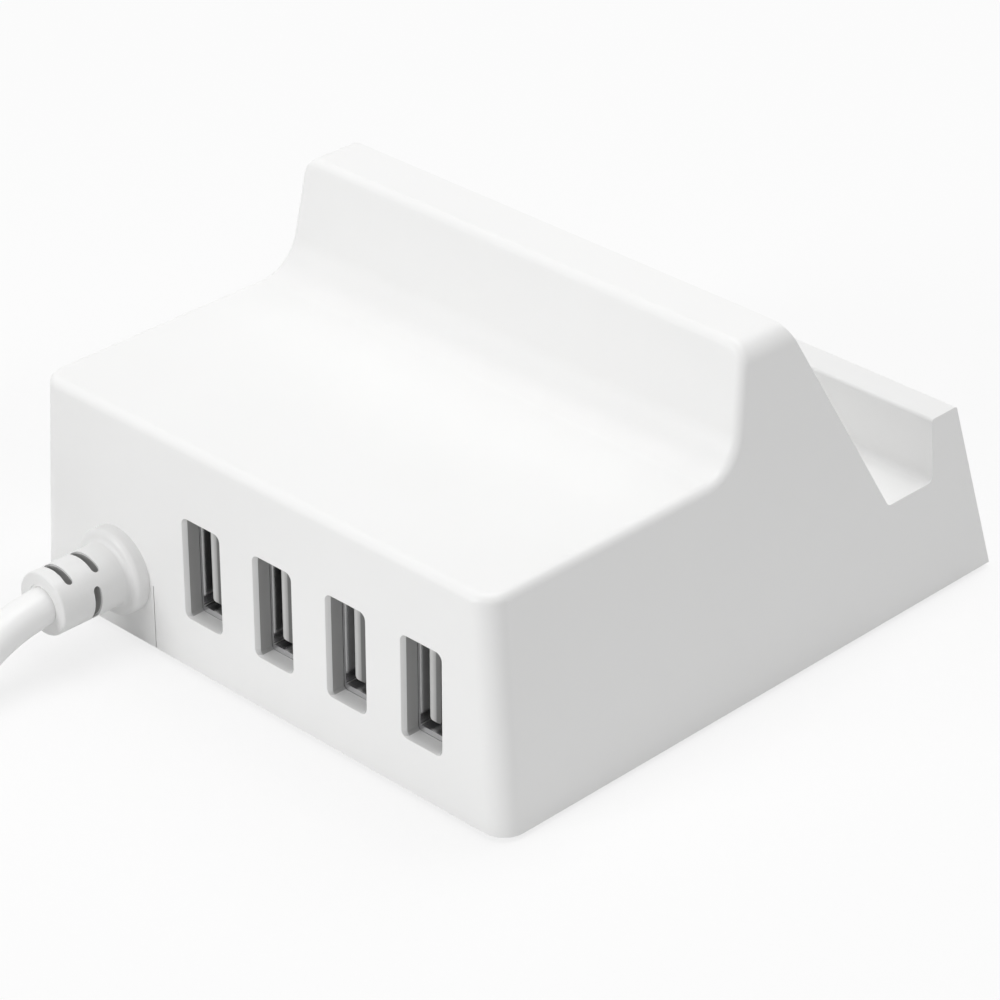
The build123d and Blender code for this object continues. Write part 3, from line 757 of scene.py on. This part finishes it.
class RepeatTree(GeometryTree):
    """Sets one leaf shape on every point of a mesh, turned by the point's own angles."""

    def __init__(self) -> None:
        """Lay the nodes: points, leaf, turn, realised and painted."""
        super().__init__("repeat_leaf", {"Leaf": "NodeSocketObject", "Paint": "NodeSocketMaterial"})
        leaf = self.node("GeometryNodeObjectInfo", inputs={"Object": self.entry.outputs["Leaf"]})
        settings = {"data_type": "FLOAT_VECTOR"}
        turn = self.node("GeometryNodeInputNamedAttribute", settings, {"Name": "turn"})
        rotation = self.node("FunctionNodeEulerToRotation", inputs={0: turn.outputs[0]})
        feeds = {
            "Points": self.entry.outputs["Geometry"],
            "Instance": leaf.outputs["Geometry"],
            "Rotation": rotation.outputs[0],
        }
        spread = self.node("GeometryNodeInstanceOnPoints", inputs=feeds)
        solid = self.node("GeometryNodeRealizeInstances", inputs={"Geometry": spread.outputs[0]})
        feeds = {"Geometry": solid.outputs[0], "Material": self.entry.outputs["Paint"]}
        painted = self.node("GeometryNodeSetMaterial", inputs=feeds)
        self.close(painted.outputs[0])

    def repeat(
        self,
        name: str,
        leaf: bmesh.types.BMesh,
        spots: Sequence[tuple[Vector, Euler]],
        paint: bpy.types.Material,
    ) -> bpy.types.Object:
        """Repeat a leaf over spots, as one plain mesh.

        Args:
            name: Name of the piece.
            leaf: Shape to repeat; it is freed.
            spots: Place and turn of each copy.
            paint: Material of the copies.

        Returns:
            The piece, at the origin, with no modifier.
        """
        pattern = new_piece(f"{name}_leaf", leaf)
        points = bpy.data.meshes.new(f"{name}_points")
        points.from_pydata([spot for spot, _ in spots], [], [])
        turns = points.attributes.new("turn", "FLOAT_VECTOR", "POINT")
        for entry, (_, turn) in zip(turns.data, spots):
            entry.vector = turn
        carrier = bpy.data.objects.new(f"{name}_carrier", points)
        bpy.context.scene.collection.objects.link(carrier)
        self.modify(carrier, {"Leaf": pattern, "Paint": paint})
        ready = carrier.evaluated_get(bpy.context.evaluated_depsgraph_get())
        mesh = bpy.data.meshes.new_from_object(ready)
        mesh.name = name
        for spare in (carrier, pattern):
            bpy.data.objects.remove(spare)
        piece = bpy.data.objects.new(name, mesh)
        bpy.context.scene.collection.objects.link(piece)
        return piece


class SoftEdgeTree(GeometryTree):
    """Joins a CAD node's loose triangles and shades it smooth, except over sharp edges."""

    def __init__(self) -> None:
        """Lay the nodes: merge, smooth all faces, then mark the sharp edges."""
        super().__init__("soft_edges", {"Sharp": "NodeSocketFloat"})
        feeds = {"Geometry": self.entry.outputs["Geometry"], "Distance": MERGE}
        joined = self.node("GeometryNodeMergeByDistance", inputs=feeds)
        feeds = {"Geometry": joined.outputs[0]}
        smooth = self.node("GeometryNodeSetShadeSmooth", {"domain": "FACE"}, feeds)
        angle = self.node("GeometryNodeInputMeshEdgeAngle")
        feeds = {0: angle.outputs[0], 1: self.entry.outputs["Sharp"]}
        settings = {"data_type": "FLOAT", "operation": "GREATER_THAN"}
        sharp = self.node("FunctionNodeCompare", settings, feeds)
        feeds = {"Geometry": smooth.outputs[0], "Selection": sharp.outputs[0], "Shade Smooth": False}
        kept = self.node("GeometryNodeSetShadeSmooth", {"domain": "EDGE"}, feeds)
        self.close(kept.outputs[0])


def new_piece(name: str, shape: bmesh.types.BMesh) -> bpy.types.Object:
    """Turn a shape into an object.

    Args:
        name: Name of the object and its mesh.
        shape: Shape with its place in its vertices; it is freed.

    Returns:
        The object, at the origin.
    """
    bmesh.ops.recalc_face_normals(shape, faces=shape.faces)
    mesh = bpy.data.meshes.new(name)
    shape.to_mesh(mesh)
    shape.free()
    piece = bpy.data.objects.new(name, mesh)
    bpy.context.scene.collection.objects.link(piece)
    return piece


@dataclass
class CaseNodes:
    """The CAD nodes that stay: each takes its slot's finish and soft shading."""

    paints: Paintbox
    # the gland's finish paints shade into its slots
    gland: Sleeve = Sleeve((0.85, 0.85, 0.845), 0.40)
    sharp_degrees: float = 32.0

    def dress(self) -> int:
        """Finish every node that the record names.

        Returns:
            How many nodes were finished.
        """
        tree = SoftEdgeTree()
        parts = frame["record"]["subparts"]
        for part in parts:
            node = frame["nodes"][part["node"]]
            node.data.materials.clear()
            node.data.materials.append(self._paint(part["node"], Slot[part["material_slot"]]))
            tree.modify(node, {"Sharp": math.radians(self.sharp_degrees)})
            weights = node.modifiers.new("face_weights", "WEIGHTED_NORMAL")
            weights.keep_sharp = True
            weights.weight = 100
        return len(parts)

    def _paint(self, node: str, slot: Slot) -> bpy.types.Material:
        """The slot's material, or the gland's own."""
        return self.gland.material(node) if node == "cord_gland" else self.paints.get(slot)


@dataclass
class MainsCord:
    """The captive mains cord: out of its gland, down to the table, round its coil and into the plug."""

    paints: Paintbox
    diameter_mm: float = 5.0
    length_m: float = 1.5
    coil_middle_mm: float = 27.5
    turns_wide: int = 4
    turns_high: int = 2
    steps_a_turn: int = 16
    crossing: float = 0.5
    loop_radius_mm: float = 25.0
    loop_shift_mm: tuple[float, float] = (5.0, -8.0)
    loop_start: float = 3.0
    loop_turn: float = 36.0
    loop_join_mm: float = 30.0
    tail_lead_mm: float = 9.0
    drop_mm: Stops = ((5.2, 0.0), (15.6, 0.25), (25.4, -4.6), (35.0, -7.1), (45.0, -7.1))
    tail_climb: tuple[float, ...] = (0.0, 0.0, 0.0, 0.125, 0.5)

    def build(self) -> bpy.types.Object:
        """Returns:
            The cord.
        """
        points = self._route()
        curve = bpy.data.curves.new("mains_lead", "CURVE")
        curve.dimensions = "3D"
        curve.bevel_depth = self.diameter_mm * MM / 2
        curve.bevel_resolution = 6
        curve.use_fill_caps = True
        spline = curve.splines.new("NURBS")
        spline.points.add(len(points) - 1)
        for control, point in zip(spline.points, points):
            control.co = (*point, 1.0)
        spline.order_u = 3
        spline.use_endpoint_u = True
        spline.resolution_u = 8
        curve.materials.append(self.paints.get(Slot.cord_white))
        piece = bpy.data.objects.new("mains_lead", curve)
        bpy.context.scene.collection.objects.link(piece)
        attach(piece, BODY)
        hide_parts("mains_cord", "cord_coil", "cord_tail")
        return piece

    def _route(self) -> list[Vector]:
        """Control points from the gland to the plug."""
        return [*self._drop(), *self._coil(), *self._tail()]

    def _drop(self) -> list[Vector]:
        """Points from the gland's bore down to the table.

        Returns:
            Control points, in order.
        """
        gland = NodeBox.of("cord_gland").centre
        port_y = NodeBox.of("upper_housing").low.y
        return [Vector((gland.x, port_y - out * MM, gland.z + rise * MM)) for out, rise in self.drop_mm]

    def _coil(self) -> list[Vector]:
        """Points of the coil: outer turn to inner on the table, then inner to outer on top.

        Returns:
            Control points, in order.
        """
        centre = NodeBox.of("cord_coil").centre
        middle = (self.turns_wide - 1) / 2
        tracks = []
        for layer in range(self.turns_high):
            lanes = [middle - lane for lane in range(self.turns_wide)]
            lanes = lanes if layer % 2 == 0 else lanes[::-1]
            height = (layer + 0.5) * self.diameter_mm
            tracks += [(self.coil_middle_mm + lane * self.diameter_mm, height) for lane in lanes]
        tracks.append((self.loop_join_mm, (self.turns_high + 0.5) * self.diameter_mm))
        points = []
        for index in range(len(tracks) - 1):
            for step in range(self.steps_a_turn):
                share = step / self.steps_a_turn
                slide = max(0.0, (share - 1 + self.crossing) / self.crossing)
                ease = slide * slide * (3 - 2 * slide)
                radius = tracks[index][0] + ease * (tracks[index + 1][0] - tracks[index][0])
                height = tracks[index][1] + ease * (tracks[index + 1][1] - tracks[index][1])
                angle = -math.tau * share
                offset = Vector((radius * math.cos(angle), radius * math.sin(angle), height)) * MM
                points.append(Vector((centre.x, centre.y, 0.0)) + offset)
        return points

    def _tail(self) -> list[Vector]:
        """Points of the free stretch over the coil and into the plug.

        Returns:
            Control points, in order.
        """
        shift = Vector((*self.loop_shift_mm, 0.0)) * MM
        centre = NodeBox.of("cord_coil").centre + shift
        plug = NodeBox.of("plug_body")
        top = (self.turns_high + 0.5) * self.diameter_mm * MM
        radius = self.loop_radius_mm * MM
        points = []
        for step, climb in enumerate(self.tail_climb):
            turn = math.radians(self.loop_start - step * self.loop_turn)
            height = top + climb * (plug.centre.z - top)
            spot = (centre.x + radius * math.cos(turn), centre.y + radius * math.sin(turn), height)
            points.append(Vector(spot))
        points.append(Vector((plug.centre.x, plug.low.y - self.tail_lead_mm * MM, plug.centre.z)))
        points.append(Vector((plug.centre.x, plug.low.y, plug.centre.z)))
        return points


@dataclass
class GlandSkirt:
    """Thin moulded lip inside the gland's mouth that hugs the cord; its profile is radius and depth."""

    paints: Paintbox
    profile_mm: Stops = ((2.3, 0.10), (2.5, 0.06), (2.6, 0.12), (2.6, 1.1), (2.3, 1.1))
    segments: int = 48

    def build(self) -> bpy.types.Object:
        """Turn the profile round the gland's axis.

        Returns:
            The piece, riding on the root body.
        """
        gland = NodeBox.of("cord_gland")
        mouth = Vector((gland.centre.x, gland.low.y, gland.centre.z))
        shape = bmesh.new()
        rings = []
        for index in range(self.segments):
            turn = math.tau * index / self.segments
            ring = []
            for radius, depth in self.profile_mm:
                offset = Vector((radius * math.cos(turn), depth, radius * math.sin(turn))) * MM
                ring.append(shape.verts.new(mouth + offset))
            rings.append(ring)
        for before, after in zip(rings, rings[1:] + rings[:1]):
            for corner in range(len(self.profile_mm)):
                following = (corner + 1) % len(self.profile_mm)
                shape.faces.new((before[corner], before[following], after[following], after[corner]))
        piece = new_piece("gland_skirt", shape)
        piece.data.materials.append(self.paints.get(Slot.cord_white))
        piece.data.shade_smooth()
        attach(piece, BODY)
        return piece


@dataclass
class SocketSprings:
    """Leaf springs pressed out of each USB shell, two on each broad wall."""

    paints: Paintbox
    repeats: RepeatTree
    ports: int = 4
    width_mm: float = 2.3
    length_mm: float = 6.0
    bulge_mm: float = 0.5
    sheet_mm: float = 0.25
    inner_half_mm: float = 2.56
    setback_mm: float = 4.2
    spread_mm: float = 3.1
    segments: int = 10

    def build(self) -> bpy.types.Object:
        """Make all springs as one piece.

        Returns:
            The piece, riding on the root body.
        """
        spots = []
        for number in range(1, self.ports + 1):
            shell = NodeBox.of(f"usb_shell_{number}")
            for side in (-1, 1):
                inner = shell.centre.x + side * self.inner_half_mm * MM
                for lift in (-1, 1):
                    height = shell.centre.z + lift * self.spread_mm * MM
                    place = Vector((inner, shell.low.y + self.setback_mm * MM, height))
                    turn = Euler((math.pi if side > 0 else 0.0, 0.0, math.pi if side > 0 else 0.0))
                    spots.append((place, turn))
        piece = self.repeats.repeat("usb_springs", self._leaf(), spots, self.paints.get(Slot.usb_metal))
        piece.data.shade_smooth()
        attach(piece, BODY)
        return piece

    def _leaf(self) -> bmesh.types.BMesh:
        """One spring: a strip that bows out from the wall and back.

        Returns:
            The shape, at the origin.
        """
        shape = bmesh.new()
        rows = []
        for index in range(self.segments + 1):
            share = index / self.segments
            bow = self.bulge_mm * math.sin(math.pi * share) ** 2
            half = self.width_mm / 2 * (1 - 0.25 * (1 - share))
            ring = []
            for depth in (bow, bow + self.sheet_mm):
                for lift in (-half, half):
                    ring.append(shape.verts.new(Vector((depth, share * self.length_mm, lift)) * MM))
            rows.append((ring[0], ring[1], ring[3], ring[2]))
        for before, after in zip(rows, rows[1:]):
            for corner in range(4):
                following = (corner + 1) % 4
                shape.faces.new((before[corner], before[following], after[following], after[corner]))
        shape.faces.new(rows[0])
        shape.faces.new(rows[-1][::-1])
        return shape


@dataclass
class PlugGrip:
    """Raised ribs across the plug, where fingers pull it."""

    paints: Paintbox
    repeats: RepeatTree
    ribs: int = 5
    pitch_mm: float = 2.4
    start_mm: float = 17.0
    half_mm: float = 6.0
    radius_mm: float = 0.6
    segments: int = 8

    def build(self) -> bpy.types.Object:
        """Make the ribs as one piece.

        Returns:
            The piece, riding on the root body.
        """
        plug = NodeBox.of("plug_body")
        spots = []
        for rib in range(self.ribs):
            depth = plug.low.y + (self.start_mm + rib * self.pitch_mm) * MM
            spots.append((Vector((plug.centre.x, depth, plug.high.z)), Euler((0.0, 0.0, 0.0))))
        piece = self.repeats.repeat("plug_grip", self._rib(), spots, self.paints.get(Slot.cord_white))
        piece.data.shade_smooth()
        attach(piece, BODY)
        return piece

    def _rib(self) -> bmesh.types.BMesh:
        """One rib: a half-sunk rod with rounded ends.

        Returns:
            The shape, at the origin.
        """
        shape = bmesh.new()
        around, along = 2 * self.segments, self.segments
        radius = self.radius_mm * MM
        bmesh.ops.create_uvsphere(shape, u_segments=around, v_segments=along, radius=radius)
        for vertex in shape.verts:
            shift = self.half_mm * MM if vertex.co.x > 0 else -self.half_mm * MM
            vertex.co.x += shift if abs(vertex.co.x) > MIDDLE else 0.0
        return shape


@dataclass(frozen=True)
class Viewpoint:
    """The camera, worked out from the photograph's own perspective."""

    place_mm: tuple[float, float, float] = (304.50, -312.30, 262.09)
    azimuth: float = 44.565
    elevation: float = 29.895
    lens_mm: float = 141.81
    sensor_mm: float = 36.0

    def build(self) -> bpy.types.Object:
        """Make the scene's camera.

        Returns:
            The camera.
        """
        turn, lift = math.radians(self.azimuth), math.radians(self.elevation)
        level = math.cos(lift)
        back = Vector((math.sin(turn) * level, -math.cos(turn) * level, math.sin(lift)))
        right = Vector((math.cos(turn), math.sin(turn), 0.0))
        axes = Matrix((right, back.cross(right), back)).transposed().to_4x4()
        data = bpy.data.cameras.new("photo_camera")
        data.lens = self.lens_mm
        data.sensor_width = self.sensor_mm
        data.clip_start = 0.01
        data.clip_end = 20.0
        camera = bpy.data.objects.new("photo_camera", data)
        camera.matrix_world = Matrix.Translation(Vector(self.place_mm) * MM) @ axes
        bpy.context.scene.collection.objects.link(camera)
        bpy.context.scene.camera = camera
        return camera


@dataclass(frozen=True)
class Lamp:
    """One soft panel of light, aimed at the object."""

    name: str
    place: tuple[float, float, float]
    size: float
    power: float

    def build(self, aim: Vector) -> bpy.types.Object:
        """Hang the lamp.

        Args:
            aim: Point that the panel faces.

        Returns:
            The lamp.
        """
        data = bpy.data.lights.new(self.name, "AREA")
        data.shape = "DISK"
        data.size = self.size
        data.energy = self.power
        lamp = bpy.data.objects.new(self.name, data)
        lamp.location = self.place
        lamp.rotation_euler = (aim - Vector(self.place)).to_track_quat("-Z", "Y").to_euler()
        bpy.context.scene.collection.objects.link(lamp)
        return lamp


@dataclass(frozen=True)
class Studio:
    """Pale floor, white backdrop and soft light."""

    ambient: float = 0.345
    floor_colour: Colour = (0.9, 0.9, 0.9)
    floor_lift: float = 0.77
    floor_half: float = 3.0
    floor_drop_mm: float = 0.05
    lamps: tuple[Lamp, ...] = (
        Lamp("overhead_panel", (0.0, 0.05, 1.2), 0.8, 5.6),
        Lamp("back_panel", (0.0, 0.6, 1.05), 0.8, 2.9),
        Lamp("front_panel", (-0.25, -1.0, 0.4), 0.5, 3.9),
    )

    def build(self) -> None:
        """Set the floor, the world, the lamps and the view transform."""
        self._floor()
        self._world()
        for lamp in self.lamps:
            lamp.build(Vector((0.0, 0.0, 0.02)))
        bpy.context.scene.view_settings.view_transform = "Standard"

    def _floor(self) -> None:
        """Lay the floor, lifted to white for the camera but keeping a shadow."""
        shape = bmesh.new()
        bmesh.ops.create_grid(shape, x_segments=4, y_segments=4, size=self.floor_half)
        for vertex in shape.verts:
            vertex.co.z = -self.floor_drop_mm * MM
        floor = new_piece("studio_floor", shape)
        made = bpy.data.materials.new("studio_floor")
        graph = Graph(made)
        paint = graph.node("ShaderNodeBsdfDiffuse", inputs={"Color": (*self.floor_colour, 1.0)})
        seen = self.floor_lift * graph.light_path("Is Camera Ray")
        graph.close(graph.either(seen, paint, graph.glow("ShaderNodeEmission", 1.0)))
        floor.data.materials.append(made)

    def _world(self) -> None:
        """Plain ambient light, with a white backdrop for the camera and for reflections."""
        world = bpy.data.worlds.new("studio_world")
        bpy.context.scene.world = world
        graph = Graph(world)
        seen = graph.light_path("Is Camera Ray").largest(graph.light_path("Is Glossy Ray"))
        ambient = graph.glow("ShaderNodeBackground", self.ambient)
        white = graph.glow("ShaderNodeBackground", 1.0)
        graph.close(graph.either(seen, ambient, white))


def main() -> None:
    """Build the camera, the cord, the details and the studio in order."""
    logging.basicConfig(level=logging.INFO, format="%(name)s: %(message)s")
    paints = Paintbox()
    repeats = RepeatTree()
    log.info("camera %s", Viewpoint().build().name)
    log.info("cord %s", MainsCord(paints).build().name)
    log.info("finished %d CAD nodes", CaseNodes(paints).dress())
    log.info("skirt %s", GlandSkirt(paints).build().name)
    log.info("springs %s", SocketSprings(paints, repeats).build().name)
    log.info("grip %s", PlugGrip(paints, repeats).build().name)
    Studio().build()


if __name__ == "__main__":
    main()
